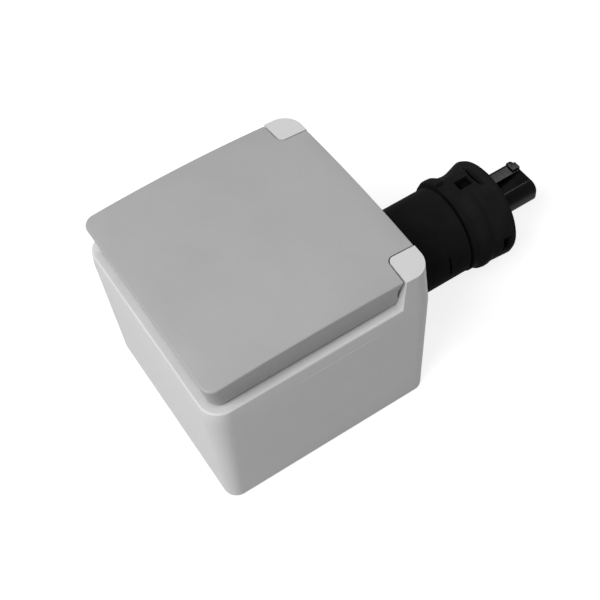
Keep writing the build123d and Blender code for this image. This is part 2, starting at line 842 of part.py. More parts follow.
with BuildPart() as connector_locknut:
    nut_face = mouth_half - seat_gap
    with BuildSketch(cross_plane(nut_face)):
        Circle(nut_radius)
        with PolarLocations(nut_radius, 12):
            Rectangle(2 * nut_notch_depth, nut_notch_width, mode=Mode.SUBTRACT)
        Circle(stem_radius + running_gap, mode=Mode.SUBTRACT)
    extrude(amount=nut_thickness)

# Latch collar: a scooped sector and a round one, cut flat on top in front of an arch
side_profile = [
    (latch_start, latch_low),
    (latch_start + 2.0, latch_low),
    (latch_start + 2.9, latch_low + 0.3),
    (latch_start + 4.0, latch_ring - 0.3),
    (latch_start + 5.2, latch_ring - 0.05),
    (latch_start + 6.4, latch_ring - 0.1),
    (latch_start + 7.8, latch_side),
    (latch_end - 1.4, latch_ring),
    (latch_end - 0.4, latch_ring - 0.4),
    (latch_end, latch_ring - latch_lip),
]
scoop_profile = [
    (latch_start, latch_ring - 0.6),
    (latch_start + 1.2, latch_ring),
    (latch_start + 3.0, latch_ring - 0.1),
    (latch_start + 5.2, latch_waist + 0.4),
    (latch_start + 8.0, latch_waist),
    (latch_start + 10.5, latch_waist + 0.2),
    (latch_end - 3.0, latch_ring - 0.5),
    (latch_end - 1.4, latch_ring),
    (latch_end - 0.4, latch_ring - 0.4),
    (latch_end, latch_ring - latch_lip),
]
sectors = (
    (scoop_start, scoop_end, scoop_profile),
    (scoop_end - 360, scoop_start, side_profile),
)
arch_face = barrel_end + arch_start
with BuildPart() as connector_collar:
    for start, stop, outline in sectors:
        with BuildSketch(profile_plane(start)):
            with BuildLine():
                Polyline(
                    *outline,
                    (latch_end, latch_bore),
                    (spigot_end + latch_lip, latch_bore),
                    (spigot_end + latch_lip, spigot_radius + running_gap),
                    (latch_start, spigot_radius + running_gap),
                    close=True,
                )
            make_face()
        revolve(axis=latch_axis, revolution_arc=stop - start)
    # coding rib along the upper left of the mouth
    rib_start = lip_start + latch_lip + mouth_seal + 3 * face_gap
    rib_wall = latch_bore + latch_lip / 2
    with BuildSketch(cross_plane(rib_start)):
        with BuildLine():
            Polyline(
                (rib_left, rib_foot),
                (rib_right, rib_foot),
                (rib_right, math.sqrt(rib_wall**2 - rib_right**2)),
                (rib_left, math.sqrt(rib_wall**2 - rib_left**2)),
                close=True,
            )
        make_face()
    extrude(amount=-(latch_end - rib_setback - rib_start))
    # retaining lip in front of the insert's flange
    with BuildSketch(profile_plane(90)):
        with BuildLine():
            Polyline(
                (lip_start, latch_bore + latch_lip / 2),
                (lip_start, spigot_radius - latch_lip),
                (lip_start + latch_lip, spigot_radius - latch_lip),
                (lip_start + latch_lip, latch_bore + latch_lip / 2),
                close=True,
            )
        make_face()
    revolve(axis=connector_axis)
    # flat panel on top, from the arch over the mouth to the soft foot of the round side
    with BuildSketch(cross_plane(arch_face)):
        with BuildLine():
            FilletPolyline(
                (-2 * latch_ring, 2 * latch_ring),
                (-2 * latch_ring, latch_flat),
                (panel_edge, latch_flat),
                (panel_edge + panel_rise, latch_ring + latch_lip),
                (panel_edge + panel_rise, 2 * latch_ring),
                radius=panel_round,
                close=True,
            )
        make_face()
    extrude(amount=arch_face - latch_start + latch_lip, mode=Mode.SUBTRACT)
    # latch window and the crescent slot under the arch
    slot_circle = (slot_half**2 + slot_length**2) / (2 * slot_length)
    with BuildSketch(Plane.XY.offset(axis_height + latch_ring)):
        with Locations((window_middle, barrel_end + window_start + window_length / 2)):
            Rectangle(window_width, window_length)
    extrude(amount=-latch_ring, mode=Mode.SUBTRACT)
    with BuildSketch(Plane.XY.offset(axis_height + latch_ring + latch_lip)):
        with Locations((slot_middle, arch_face - slot_length + slot_circle)):
            Circle(slot_circle)
        with Locations((slot_middle, arch_face - slot_circle)):
            Rectangle(2 * slot_circle, 2 * slot_circle, mode=Mode.INTERSECT)
    extrude(amount=-latch_flat / 2 - latch_lip, mode=Mode.SUBTRACT)
    # flat underneath, so that the collar clears the wall
    with BuildSketch(Plane.XY.offset(wall_clearance)):
        with Locations((0, (latch_start + latch_end) / 2)):
            Rectangle(2 * latch_ring, latch_length)
    extrude(amount=-latch_lip, mode=Mode.SUBTRACT)
    # key slots on both sides of the mouth
    with BuildSketch(Plane.YZ):
        with Locations((barrel_end + side_slot_start + side_slot_length / 2, axis_height)):
            Rectangle(side_slot_length, side_slot_height)
    extrude(amount=2 * latch_ring, both=True, mode=Mode.SUBTRACT)

# Contact insert: flanged plug in the barrel with a keyed nose that reaches out of the mouth
with BuildPart() as contact_insert:
    with BuildSketch(cross_plane(insert_start)):
        Circle(barrel_bore - face_gap)
    extrude(amount=-(flange_start - insert_start))
    with BuildSketch(cross_plane(flange_start)):
        Circle(spigot_radius - face_gap)
    extrude(amount=-flange_thickness)
    with BuildSketch(Plane(origin=(0, flange_start, 0), x_dir=(1, 0, 0), z_dir=(0, -1, 0))) as nose_outline:
        with Locations(((nose_left + nose_right) / 2, (nose_top + nose_bottom) / 2)):
            Rectangle(nose_right - nose_left, nose_top - nose_bottom)
        nose_shoulders = nose_outline.vertices().group_by(Axis.Y)[-1].sort_by(Axis.X)
        fillet(nose_shoulders[0], nose_corner_left)
        fillet(nose_outline.vertices().group_by(Axis.Y)[-1].sort_by(Axis.X)[-1], nose_corner_right)
        fillet(nose_outline.vertices().group_by(Axis.Y)[0], nose_corner_bottom)
    extrude(amount=-(nose_end - flange_start))
    fillet(contact_insert.faces().sort_by(Axis.Y)[-1].edges(), nose_tip_round)
    with BuildSketch(Plane.XY.offset(nose_top - ridge_height)):
        with Locations(((ridge_left + ridge_right) / 2, nose_end - ridge_length / 2)):
            Rectangle(ridge_right - ridge_left, ridge_length)
    extrude(amount=2 * ridge_height)
    with BuildSketch(Plane.XY.offset(nose_top)):
        with Locations(((key_left + key_right) / 2, nose_end - key_setback - key_length / 2)):
            Rectangle(key_right - key_left, key_length)
    extrude(amount=-key_depth, mode=Mode.SUBTRACT)
    # ways for the three contacts
    with BuildSketch(cross_plane(nose_end)):
        with Locations(*[(x, contact_rise) for x in (-contact_spacing, 0, contact_spacing)]):
            Circle(contact_radius + seat_gap)
    extrude(amount=nose_end - insert_start, mode=Mode.SUBTRACT)

with BuildPart() as mating_seal:
    with BuildSketch(profile_plane(90)):
        with Locations((lip_start + latch_lip + face_gap + mouth_seal / 2, latch_bore - face_gap - mouth_seal / 2)):
            RegularPolygon(mouth_seal / 2, 8)
    revolve(axis=connector_axis)

with BuildPart() as connector_contacts:
    with BuildSketch(cross_plane(insert_start)):
        with Locations(*[(x, contact_rise) for x in (-contact_spacing, 0, contact_spacing)]):
            Circle(contact_radius)
    extrude(amount=-(contact_end - insert_start))

# Wires from the connector's contacts to the terminals of the socket base
wire_start = insert_start - seat_gap
wire_end = terminal_y + terminal_length / 2 - 2 * wire_bite
wire_lead = base_width / 2 + wire_bite + wire_spread
terminal_level = base_top - terminal_height / 2
wires = {}
for label, side in (("live_wire", -1), ("earth_wire", 0), ("neutral_wire", 1)):
    with BuildPart() as wire:
        with BuildLine() as route:
            FilletPolyline(
                (side * contact_spacing, wire_start, contact_height),
                (side * contact_spacing, wire_start - wire_straight, contact_height),
                (side * (contact_spacing + wire_spread), stem_end, contact_height + wire_rise),
                (side * terminal_x, wire_lead, terminal_level),
                (side * terminal_x, wire_end, terminal_level),
                radius=wire_bend,
            )
        with BuildSketch(Plane(origin=route.line @ 0, z_dir=route.line % 0)):
            Circle(wire_radius)
        sweep(path=route.line)
    wire.part.label = label
    wires[label] = wire.part

housing.part.label = "housing"
lid.part.label = "lid"
lid_gasket.part.label = "lid_gasket"
hinge_pin.part.label = "hinge_pin"
lid_spring.part.label = "lid_spring"
front_cover.part.label = "front_cover"
cover_gasket.part.label = "cover_gasket"
cover_screws.part.label = "cover_screws"
socket_base.part.label = "socket_base"
base_screws.part.label = "base_screws"
centre_screw.part.label = "centre_screw"
earth_clip.part.label = "earth_clip"
terminal_screws.part.label = "terminal_screws"
fixing_seals.part.label = "fixing_seals"
connector_body.part.label = "connector_body"
connector_seal.part.label = "connector_seal"
connector_locknut.part.label = "connector_locknut"
connector_collar.part.label = "connector_collar"
contact_insert.part.label = "contact_insert"
mating_seal.part.label = "mating_seal"
connector_contacts.part.label = "connector_contacts"

export_step(housing.part, "parts/housing.step")
export_step(lid.part, "parts/lid.step")
export_step(lid_gasket.part, "parts/lid_gasket.step")
export_step(hinge_pin.part, "parts/hinge_pin.step")
export_step(lid_spring.part, "parts/lid_spring.step")
export_step(front_cover.part, "parts/front_cover.step")
export_step(cover_gasket.part, "parts/cover_gasket.step")
export_step(cover_screws.part, "parts/cover_screws.step")
export_step(socket_base.part, "parts/socket_base.step")
export_step(base_screws.part, "parts/base_screws.step")
export_step(centre_screw.part, "parts/centre_screw.step")
export_step(earth_clip.part, "parts/earth_clip.step")
export_step(terminal_screws.part, "parts/terminal_screws.step")
export_step(fixing_seals.part, "parts/fixing_seals.step")
export_step(connector_body.part, "parts/connector_body.step")
export_step(connector_seal.part, "parts/connector_seal.step")
export_step(connector_locknut.part, "parts/connector_locknut.step")
export_step(connector_collar.part, "parts/connector_collar.step")
export_step(contact_insert.part, "parts/contact_insert.step")
export_step(mating_seal.part, "parts/mating_seal.step")
export_step(connector_contacts.part, "parts/connector_contacts.step")
for label, part in {**contacts, **wires}.items():
    export_step(part, f"parts/{label}.step")
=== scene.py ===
import bpy
import json
import math
from mathutils import Matrix, Vector

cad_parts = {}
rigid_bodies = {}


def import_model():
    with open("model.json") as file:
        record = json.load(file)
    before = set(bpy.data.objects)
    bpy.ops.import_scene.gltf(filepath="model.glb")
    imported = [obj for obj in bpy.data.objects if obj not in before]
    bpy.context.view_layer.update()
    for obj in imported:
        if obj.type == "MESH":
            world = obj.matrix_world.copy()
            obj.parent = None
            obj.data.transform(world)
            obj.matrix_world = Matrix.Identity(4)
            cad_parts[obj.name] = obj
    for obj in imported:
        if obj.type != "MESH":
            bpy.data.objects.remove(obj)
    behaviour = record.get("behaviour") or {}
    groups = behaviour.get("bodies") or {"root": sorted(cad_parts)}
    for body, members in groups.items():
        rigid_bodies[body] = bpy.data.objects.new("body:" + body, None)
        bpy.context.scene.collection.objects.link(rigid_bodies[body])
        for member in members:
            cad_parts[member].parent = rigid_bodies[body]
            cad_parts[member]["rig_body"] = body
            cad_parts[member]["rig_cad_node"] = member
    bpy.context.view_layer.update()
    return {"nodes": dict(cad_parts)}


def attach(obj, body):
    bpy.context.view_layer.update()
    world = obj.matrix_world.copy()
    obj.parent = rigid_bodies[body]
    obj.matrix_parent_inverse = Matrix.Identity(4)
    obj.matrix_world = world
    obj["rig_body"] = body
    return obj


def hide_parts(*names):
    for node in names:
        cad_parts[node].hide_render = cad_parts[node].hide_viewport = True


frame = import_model()
nodes = frame["nodes"]
print("loaded", len(nodes), "pieces")


# Helpers

def hexToLinear(colour):
    # sRGB hex to the linear value that Blender's sockets take
    channels = [int(colour[i:i + 2], 16) / 255 for i in (0, 2, 4)]
    linear = [c / 12.92 if c <= 0.04045 else ((c + 0.055) / 1.055) ** 2.4 for c in channels]
    return (*linear, 1.0)


def addNode(tree, kind, settings=None, inputs=None, links=None):
    # one node with its settings, its fixed sockets and the sockets linked into it
    node = tree.nodes.new(kind)
    for key, value in (settings or {}).items():
        setattr(node, key, value)
    for key, value in (inputs or {}).items():
        node.inputs[key].default_value = value
    for key, socket in (links or {}).items():
        tree.links.new(socket, node.inputs[key])
    return node


def startMaterial(name):
    material = bpy.data.materials.new(name)
    material.use_nodes = True
    tree = material.node_tree
    tree.nodes.clear()
    return material, tree


def addTwoTone(tree, pattern, look, low, high):
    # blends the finish's two tones by a pattern, between its low and its high value
    tone = addNode(tree, "ShaderNodeValToRGB", links={"Fac": pattern})
    first, last = tone.color_ramp.elements
    first.position = low
    first.color = hexToLinear(look["darkTone"])
    last.position = high
    last.color = hexToLinear(look["lightTone"])
    return tone


def addSeenMask(tree):
    # 1 for rays that show the surface itself, straight, through glass or mirrored; else 0
    rays = addNode(tree, "ShaderNodeLightPath")
    straight = addNode(tree, "ShaderNodeMath", {"operation": "MAXIMUM"},
                       links={0: rays.outputs["Is Camera Ray"], 1: rays.outputs["Is Transmission Ray"]})
    seen = addNode(tree, "ShaderNodeMath", {"operation": "MAXIMUM"},
                   links={0: straight.outputs["Value"], 1: rays.outputs["Is Glossy Ray"]})
    return seen.outputs["Value"]


def addPaintedPartingHighlight(tree, place, shade, line):
    # painted highlight: a fine bright line along the parting line where two halves of the tool met, standing in
    # for the light that line catches, fading out towards its ends
    axes = addNode(tree, "ShaderNodeSeparateXYZ", links={"Vector": place})
    drop = addNode(tree, "ShaderNodeMath", {"operation": "SUBTRACT"},
                   inputs={1: line["heightMm"] / 1000}, links={0: axes.outputs["Z"]})
    away = addNode(tree, "ShaderNodeMath", {"operation": "ABSOLUTE"}, links={0: drop.outputs["Value"]})
    band = addNode(tree, "ShaderNodeMapRange", {"interpolation_type": "SMOOTHSTEP"},
                   inputs={"From Min": 0.0, "From Max": line["halfWidthMm"] / 1000,
                           "To Min": line["gain"], "To Max": 0.0},
                   links={"Value": away.outputs["Value"]})
    middle = addNode(tree, "ShaderNodeMath", {"operation": "SUBTRACT"},
                     inputs={1: line["middleMm"] / 1000}, links={0: axes.outputs["Y"]})
    along = addNode(tree, "ShaderNodeMath", {"operation": "ABSOLUTE"}, links={0: middle.outputs["Value"]})
    fade = addNode(tree, "ShaderNodeMapRange", {"interpolation_type": "SMOOTHSTEP"},
                   inputs={"From Min": line["fullMm"] / 1000, "From Max": line["endMm"] / 1000,
                           "To Min": 1.0, "To Max": 0.0},
                   links={"Value": along.outputs["Value"]})
    return addNode(tree, "ShaderNodeMath", {"operation": "MULTIPLY_ADD"},
                   links={0: band.outputs["Result"], 1: fade.outputs["Result"], 2: shade}).outputs["Value"]


# how every moulded plastic's grain and flow marks are drawn; the finishes give sizes and strengths
plasticPattern = {"grainDetail": 3.0, "flowDetail": 5.0, "fade": 0.6, "flowRange": (0.3, 0.7),
                  "grainRange": (0.25, 0.75), "glossierBy": 0.04, "dullerBy": 0.05,
                  "grainPerDepth": 4000, "usualSheen": 0.5}


def addMouldedPlastic(name, look):
    # injection moulded plastic: spark-eroded grain, faint flow marks and a slightly uneven gloss
    material, tree = startMaterial(name)
    place = addNode(tree, "ShaderNodeTexCoord")
    grain = addNode(tree, "ShaderNodeTexNoise",
                    inputs={"Scale": 1000 / look["grainMm"], "Detail": plasticPattern["grainDetail"],
                            "Roughness": plasticPattern["fade"]},
                    links={"Vector": place.outputs["Object"]})
    flow = addNode(tree, "ShaderNodeTexNoise",
                   inputs={"Scale": 1000 / look["flowMm"], "Detail": plasticPattern["flowDetail"],
                           "Roughness": plasticPattern["fade"]},
                   links={"Vector": place.outputs["Object"]})
    low, high = plasticPattern["flowRange"]
    tone = addTwoTone(tree, flow.outputs["Fac"], look, low, high)
    grainLow, grainHigh = plasticPattern["grainRange"]
    speck = addNode(tree, "ShaderNodeMapRange",
                    inputs={"From Min": grainLow, "From Max": grainHigh,
                            "To Min": 1 - look["speck"], "To Max": 1 + look["speck"]},
                    links={"Value": grain.outputs["Fac"]})
    shade = speck.outputs["Result"]
    # painted highlight along the parting line, added onto the grain's shade
    if "partingHighlight" in look:
        shade = addPaintedPartingHighlight(tree, place.outputs["Object"], shade, look["partingHighlight"])
    colour = addNode(tree, "ShaderNodeVectorMath", {"operation": "SCALE"},
                     links={"Vector": tone.outputs["Color"], "Scale": shade})
    gloss = addNode(tree, "ShaderNodeMapRange",
                    inputs={"From Min": low, "From Max": high,
                            "To Min": look["roughness"] - plasticPattern["glossierBy"],
                            "To Max": look["roughness"] + plasticPattern["dullerBy"]},
                    links={"Value": flow.outputs["Fac"]})
    relief = addNode(tree, "ShaderNodeBump",
                     inputs={"Strength": look["relief"],
                             "Distance": look["grainMm"] / plasticPattern["grainPerDepth"]},
                     links={"Height": grain.outputs["Fac"]})
    skin = addNode(tree, "ShaderNodeBsdfPrincipled",
                   inputs={"IOR": look["ior"],
                           "Specular IOR Level": look.get("sheen", plasticPattern["usualSheen"])},
                   links={"Base Color": colour.outputs["Vector"], "Roughness": gloss.outputs["Result"],
                          "Normal": relief.outputs["Normal"]})
    addNode(tree, "ShaderNodeOutputMaterial", links={"Surface": skin.outputs["BSDF"]})
    return material


# the same for the bare metals
metalPattern = {"lineDetail": 2.0, "stainDetail": 3.0, "stainRange": (0.35, 0.65), "lineRange": (0.3, 0.7),
                "glossierBy": 0.06, "dullerBy": 0.08, "relief": 0.2, "depth": 0.00002}


def addBareMetal(name, look):
    # drawn, stamped or plated metal: fine lines along the working direction and a little tarnish
    material, tree = startMaterial(name)
    place = addNode(tree, "ShaderNodeTexCoord")
    stretch = addNode(tree, "ShaderNodeMapping", inputs={"Scale": look["lines"]},
                      links={"Vector": place.outputs["Object"]})
    lines = addNode(tree, "ShaderNodeTexNoise",
                    inputs={"Scale": 1000 / look["lineMm"], "Detail": metalPattern["lineDetail"]},
                    links={"Vector": stretch.outputs["Vector"]})
    tarnish = addNode(tree, "ShaderNodeTexNoise",
                      inputs={"Scale": 1000 / look["stainMm"], "Detail": metalPattern["stainDetail"]},
                      links={"Vector": place.outputs["Object"]})
    low, high = metalPattern["stainRange"]
    tone = addTwoTone(tree, tarnish.outputs["Fac"], look, low, high)
    lineLow, lineHigh = metalPattern["lineRange"]
    gloss = addNode(tree, "ShaderNodeMapRange",
                    inputs={"From Min": lineLow, "From Max": lineHigh,
                            "To Min": look["roughness"] - metalPattern["glossierBy"],
                            "To Max": look["roughness"] + metalPattern["dullerBy"]},
                    links={"Value": lines.outputs["Fac"]})
    relief = addNode(tree, "ShaderNodeBump",
                     inputs={"Strength": metalPattern["relief"], "Distance": metalPattern["depth"]},
                     links={"Height": lines.outputs["Fac"]})
    skin = addNode(tree, "ShaderNodeBsdfPrincipled", inputs={"Metallic": 1.0},
                   links={"Base Color": tone.outputs["Color"], "Roughness": gloss.outputs["Result"],
                          "Normal": relief.outputs["Normal"]})
    addNode(tree, "ShaderNodeOutputMaterial", links={"Surface": skin.outputs["BSDF"]})
    return material


# Finishes. The grain of the real tool is about 0.1 mm, drawn coarser so that it shows.

finishes = {
    # ASA, spark-eroded tool: light grey, dry and even
    "mouldedAsaLightGrey": {"kind": addMouldedPlastic, "darkTone": "D9D9D9", "lightTone": "DFDFDF", "speck": 0.034,
                            "grainMm": 0.45, "flowMm": 24.0, "roughness": 0.52, "relief": 0.30, "ior": 1.50,
                            # painted highlight along the parting line on the housing's side
                            "partingHighlight": {"heightMm": 46.2, "halfWidthMm": 0.22, "middleMm": 4.0,
                                        "fullMm": 8.0, "endMm": 17.0, "gain": 0.5}},
    # the same plastic in mid grey for the lid: darker than the housing and as dry
    "mouldedAsaMidGrey": {"kind": addMouldedPlastic, "darkTone": "A8A8A8", "lightTone": "AFAFAF", "speck": 0.026,
                          "grainMm": 0.45, "flowMm": 26.0, "roughness": 0.50, "relief": 0.25, "ior": 1.50},
    # glass-filled nylon of the connector: black with a satin gloss that breaks up at the fibres
    "mouldedNylonBlack": {"kind": addMouldedPlastic, "darkTone": "1D1D1D", "lightTone": "252525", "speck": 0.10,
                          "grainMm": 0.45, "flowMm": 9.0, "roughness": 0.60, "relief": 0.35, "ior": 1.53,
                          "sheen": 0.004},
    # polished nylon of the keyed nose: deep black with a clear gloss on its flats
    "mouldedNylonSatin": {"kind": addMouldedPlastic, "darkTone": "0A0A0A", "lightTone": "0F0F0F", "speck": 0.08,
                          "grainMm": 0.45, "flowMm": 6.0, "roughness": 0.21, "relief": 0.12, "ior": 1.53,
                          "sheen": 0.044},
    # ASA of the cover plate under the lid: pale grey and a little smoother
    "mouldedAsaCover": {"kind": addMouldedPlastic, "darkTone": "BDBDBD", "lightTone": "C2C2C2", "speck": 0.02,
                        "grainMm": 0.35, "flowMm": 26.0, "roughness": 0.48, "relief": 0.22, "ior": 1.50},
    # urea moulding of the socket base: hard, pale and a bit creamy
    "mouldedUreaBase": {"kind": addMouldedPlastic, "darkTone": "DAD7CE", "lightTone": "E2DFD6", "speck": 0.015,
                        "grainMm": 0.5, "flowMm": 12.0, "roughness": 0.40, "relief": 0.15, "ior": 1.54},
    # EPDM seals: soft and dull black
    "mouldedRubberBlack": {"kind": addMouldedPlastic, "darkTone": "1A1A1A", "lightTone": "222222", "speck": 0.06,
                           "grainMm": 0.6, "flowMm": 8.0, "roughness": 0.75, "relief": 0.40, "ior": 1.52},
    # painted shade: a near-black copy of the same rubber, standing in for the shade deep in the connector's mouth,
    # where no light returns
    "paintedShadeRubber": {"kind": addMouldedPlastic, "darkTone": "060606", "lightTone": "0A0A0A", "speck": 0.06,
                           "grainMm": 0.6, "flowMm": 8.0, "roughness": 0.75, "relief": 0.40, "ior": 1.52,
                           "sheen": 0.02},
    # PVC wire insulation: smooth, softly glossy, in the colours of the three wires
    "extrudedPvcBrown": {"kind": addMouldedPlastic, "darkTone": "54301A", "lightTone": "5C3720", "speck": 0.03,
                         "grainMm": 0.8, "flowMm": 10.0, "roughness": 0.35, "relief": 0.10, "ior": 1.53},
    "extrudedPvcBlue": {"kind": addMouldedPlastic, "darkTone": "1E4C93", "lightTone": "2554A0", "speck": 0.03,
                        "grainMm": 0.8, "flowMm": 10.0, "roughness": 0.35, "relief": 0.10, "ior": 1.53},
    "extrudedPvcGreen": {"kind": addMouldedPlastic, "darkTone": "4F8F22", "lightTone": "5B9A2B", "speck": 0.03,
                         "grainMm": 0.8, "flowMm": 10.0, "roughness": 0.35, "relief": 0.10, "ior": 1.53},
    # ground pin, drawn spring wire and zinc-plated screws: cool bright steel with fine lines
    "groundSteelPin": {"kind": addBareMetal, "darkTone": "A9A9AA", "lightTone": "BCBCBD", "lines": (0.05, 1, 1),
                       "lineMm": 0.2, "stainMm": 6.0, "roughness": 0.28},
    "drawnSpringSteel": {"kind": addBareMetal, "darkTone": "8F9092", "lightTone": "A5A6A8", "lines": (1, 1, 1),
                         "lineMm": 0.3, "stainMm": 4.0, "roughness": 0.34},
    "zincPlatedSteel": {"kind": addBareMetal, "darkTone": "B4B6BA", "lightTone": "C9CBCE", "lines": (1, 1, 0.1),
                        "lineMm": 0.25, "stainMm": 5.0, "roughness": 0.32},
    # stamped brass strip of the contacts: warm yellow metal with fine lines
    "stampedBrass": {"kind": addBareMetal, "darkTone": "C49A45", "lightTone": "D9B566", "lines": (1, 1, 0.1),
                     "lineMm": 0.25, "stainMm": 5.0, "roughness": 0.30},
}
materials = {name: look["kind"](name, look) for name, look in finishes.items()}
print("mixed", len(materials), "finishes")

dressing = {
    "housing": "mouldedAsaLightGrey",
    "lid": "mouldedAsaMidGrey",
    "lid_gasket": "mouldedRubberBlack",
    "hinge_pin": "groundSteelPin",
    "lid_spring": "drawnSpringSteel",
    "front_cover": "mouldedAsaCover",
    "cover_gasket": "mouldedRubberBlack",
    "cover_screws": "zincPlatedSteel",
    "socket_base": "mouldedUreaBase",
    "base_screws": "zincPlatedSteel",
    "centre_screw": "zincPlatedSteel",
    "earth_clip": "stampedBrass",
    "live_contact": "stampedBrass",
    "neutral_contact": "stampedBrass",
    "terminal_screws": "zincPlatedSteel",
    "fixing_seals": "mouldedRubberBlack",
    "connector_body": "mouldedNylonBlack",
    "connector_seal": "mouldedRubberBlack",
    "connector_locknut": "mouldedNylonBlack",
    "connector_collar": "mouldedNylonBlack",
    "contact_insert": "mouldedNylonSatin",
    "mating_seal": "mouldedRubberBlack",
    "connector_contacts": "stampedBrass",
    "live_wire": "extrudedPvcBrown",
    "neutral_wire": "extrudedPvcBlue",
    "earth_wire": "extrudedPvcGreen",
}
for nodeName, finishName in dressing.items():
    node = nodes[nodeName]
    node.data.materials.clear()
    node.data.materials.append(materials[finishName])
print("dressed", len(dressing), "pieces")


# Pieces modelled here in place of plainer CAD ones

# limits shared by them: metres, and degrees for the last
craft = {"weld": 0.000002, "seam": 0.000005, "near": 0.0001, "flatDegrees": 0.5}


def startRing(radius, centre, corners):
    # bare ring of vertices standing square to the Y axis, open for editing
    bpy.ops.object.select_all(action="DESELECT")
    bpy.ops.mesh.primitive_circle_add(vertices=corners, radius=radius, location=centre,
                                      rotation=(math.pi / 2, 0, 0), fill_type="NOTHING")
    bpy.ops.object.transform_apply(location=True, rotation=True, scale=True)
    bpy.ops.object.mode_set(mode="EDIT")
    bpy.ops.mesh.select_all(action="SELECT")
    return bpy.context.object


def turnProfile(profile, centre):
    # extrudes the selected ring from point to point of a profile of (distance along Y, radius)
    for (y0, r0), (y1, r1) in zip(profile, profile[1:]):
        bpy.ops.mesh.extrude_region_move(TRANSFORM_OT_translate={"value": (0, y1 - y0, 0)})
        scale = r1 / r0
        bpy.ops.transform.resize(value=(scale, 1, scale), center_override=(centre[0], y1, centre[2]))


def addBlock(low, high):
    # cube at its size and place, in metres, open for editing with nothing selected
    bpy.ops.object.select_all(action="DESELECT")
    bpy.ops.mesh.primitive_cube_add(size=1, location=[(a + b) / 2 for a, b in zip(low, high)],
                                    scale=[b - a for a, b in zip(low, high)])
    bpy.ops.object.transform_apply(location=True, rotation=True, scale=True)
    bpy.ops.object.mode_set(mode="EDIT")
    bpy.ops.mesh.select_all(action="DESELECT")
    return bpy.context.object


def pickVertices(piece, wanted):
    # selects the vertices whose place passes the test, and only those
    bpy.ops.object.mode_set(mode="OBJECT")
    for vertex in piece.data.vertices:
        vertex.select = wanted(vertex.co)
    bpy.ops.object.mode_set(mode="EDIT")


def copyNode(nodeName):
    # own copy of a CAD node, with the triangles' loose corners merged into one skin
    bpy.ops.object.select_all(action="DESELECT")
    source = nodes[nodeName]
    source.select_set(True)
    bpy.context.view_layer.objects.active = source
    bpy.ops.object.duplicate(linked=False)
    piece = bpy.context.object
    piece.parent = None
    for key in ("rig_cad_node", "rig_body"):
        if key in piece:
            del piece[key]
    bpy.ops.object.mode_set(mode="EDIT")
    bpy.ops.mesh.select_mode(type="VERT")
    bpy.ops.mesh.select_all(action="SELECT")
    bpy.ops.mesh.remove_doubles(threshold=craft["weld"])
    bpy.ops.mesh.customdata_custom_splitnormals_clear()
    bpy.ops.object.mode_set(mode="OBJECT")
    return piece


def combine(piece, tool, operation):
    # cuts the tool out of the piece or welds it on, and removes the tool
    bpy.ops.object.mode_set(mode="OBJECT")
    bpy.ops.object.select_all(action="DESELECT")
    piece.select_set(True)
    bpy.context.view_layer.objects.active = piece
    step = piece.modifiers.new("step", "BOOLEAN")
    step.operation = operation
    step.solver = "EXACT"
    step.object = tool
    bpy.ops.object.modifier_apply(modifier="step")
    bpy.data.objects.remove(tool)


def finishPiece(piece, name, finishName, body, replaced, smoothDegrees=35):
    # name, shading, finish and the frame's facts of a finished piece
    bpy.ops.object.mode_set(mode="OBJECT")
    piece.name = name
    piece.data.name = name
    bpy.ops.object.shade_smooth_by_angle(angle=math.radians(smoothDegrees))
    piece.data.materials.clear()
    piece.data.materials.append(materials[finishName])
    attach(piece, body)
    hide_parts(replaced)
    print("modelled", name)


def softenEdges(piece, width, degrees):
    # flat faces joined again, then every sharp edge broken with a small round
    bpy.ops.object.mode_set(mode="EDIT")
    bpy.ops.mesh.select_all(action="SELECT")
    bpy.ops.mesh.dissolve_limited(angle_limit=math.radians(craft["flatDegrees"]))
    bpy.ops.object.mode_set(mode="OBJECT")
    edge = piece.modifiers.new("edge", "BEVEL")
    edge.width = width
    edge.segments = 2
    edge.limit_method = "ANGLE"
    edge.angle_limit = math.radians(degrees)
    edge.use_clamp_overlap = True
    bpy.ops.object.modifier_apply(modifier="edge")


# Housing whose ledge falls towards the mouth like a gutter, so that it lies darker under the lid
housingLook = {"ledge": 0.0515, "mouth": 0.0334, "fall": 0.0014, "touch": 0.00001, "beyond": 0.001,
               "smoothDegrees": 30}


def onLedge(place):
    return abs(place.z - housingLook["ledge"]) < housingLook["touch"]


def isInner(place):
    return max(abs(place.x), abs(place.y)) < housingLook["mouth"] + housingLook["beyond"]


housingSkin = copyNode("housing")
for vertex in housingSkin.data.vertices:
    if onLedge(vertex.co) and isInner(vertex.co):
        vertex.co.z -= housingLook["fall"]
finishPiece(housingSkin, "guttered_housing", "mouldedAsaLightGrey", "box", "housing",
            housingLook["smoothDegrees"])

# Lid with a tight edge at its sides and a soft one along the front, as the photograph shows
lidLook = {"half": 0.0374, "corner": 0.004, "round": 0.0008, "sideRound": 0.0004, "frontRound": 0.0008,
           "reach": 0.00095, "depth": 0.00125, "crown": 0.06535, "domeRadius": 0.48, "smoothDegrees": 25}


def reshapeLidEdge(place):
    # moves a vertex of the rounded top edge onto another arc in the same corner
    along = Vector((abs(place.x), abs(place.y)))
    middle = lidLook["half"] - lidLook["corner"]
    if along.x > middle and along.y > middle:
        outward = along - Vector((middle, middle))
        inset = lidLook["corner"] - outward.length
    else:
        outward = Vector((1, 0)) if along.x > along.y else Vector((0, 1))
        inset = lidLook["half"] - max(along)
    dome = lidLook["crown"] - along.length_squared / (2 * lidLook["domeRadius"])
    if place.z < dome - lidLook["depth"] or inset > lidLook["reach"]:
        return place
    outward.normalize()
    tilt = min(1.0, max(0.0, 1 - inset / lidLook["round"]))
    front = outward.y ** 2 if place.y < 0 else 0
    newRound = lidLook["sideRound"] + (lidLook["frontRound"] - lidLook["sideRound"]) * front
    change = lidLook["round"] - newRound
    step = outward * change * (1 - tilt)
    rise = change * (1 - math.sqrt(1 - tilt * tilt))
    return place + Vector((math.copysign(step.x, place.x), math.copysign(step.y, place.y), rise))


